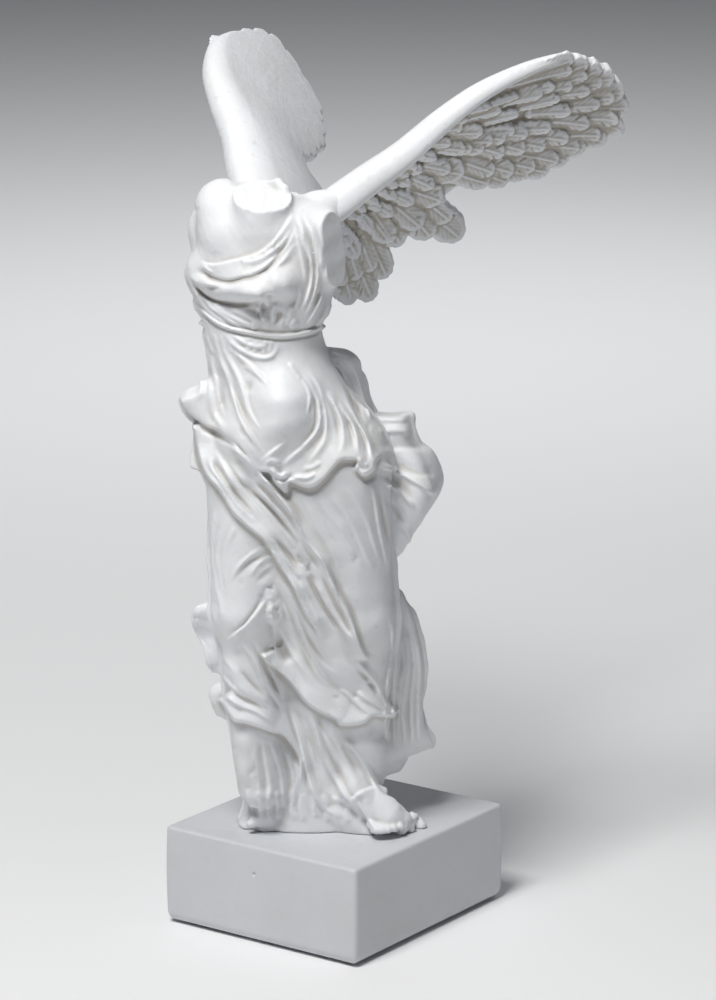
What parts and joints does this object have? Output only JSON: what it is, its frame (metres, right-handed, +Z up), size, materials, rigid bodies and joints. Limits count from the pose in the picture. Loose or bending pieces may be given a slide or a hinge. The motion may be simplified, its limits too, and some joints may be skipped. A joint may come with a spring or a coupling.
{
  "type": "winged figure statuette",
  "caption": "Headless, armless winged figure in flowing drapery, cast in white stone resin, striding on a plain block plinth; a display piece for a shelf or desk.",
  "frame": {"origin": "middle of the face the plinth rests on", "axes": "+Z up, the figure faces -Y, +X is the figure's left"},
  "size_m": [0.1842, 0.1721, 0.3696],
  "materials": {
    "cast_stone": "satin white marble and resin casting, slightly warm in the hollows",
    "steel": "plain bright steel",
    "brass": "turned brass",
    "felt": "short dark green felt"
  },
  "bodies": {
    "root": {"plinth": "cast_stone", "felt_pad": "felt", "figure": "cast_stone", "left_wing": "cast_stone", "right_wing": "cast_stone", "mantle": "cast_stone", "left_wing_dowel": "steel", "right_wing_dowel": "steel", "mantle_dowels": "steel", "figure_dowels": "steel", "stud": "steel", "stud_insert": "brass", "stud_washer": "steel", "stud_nut": "steel"}
  },
  "joints": []
}
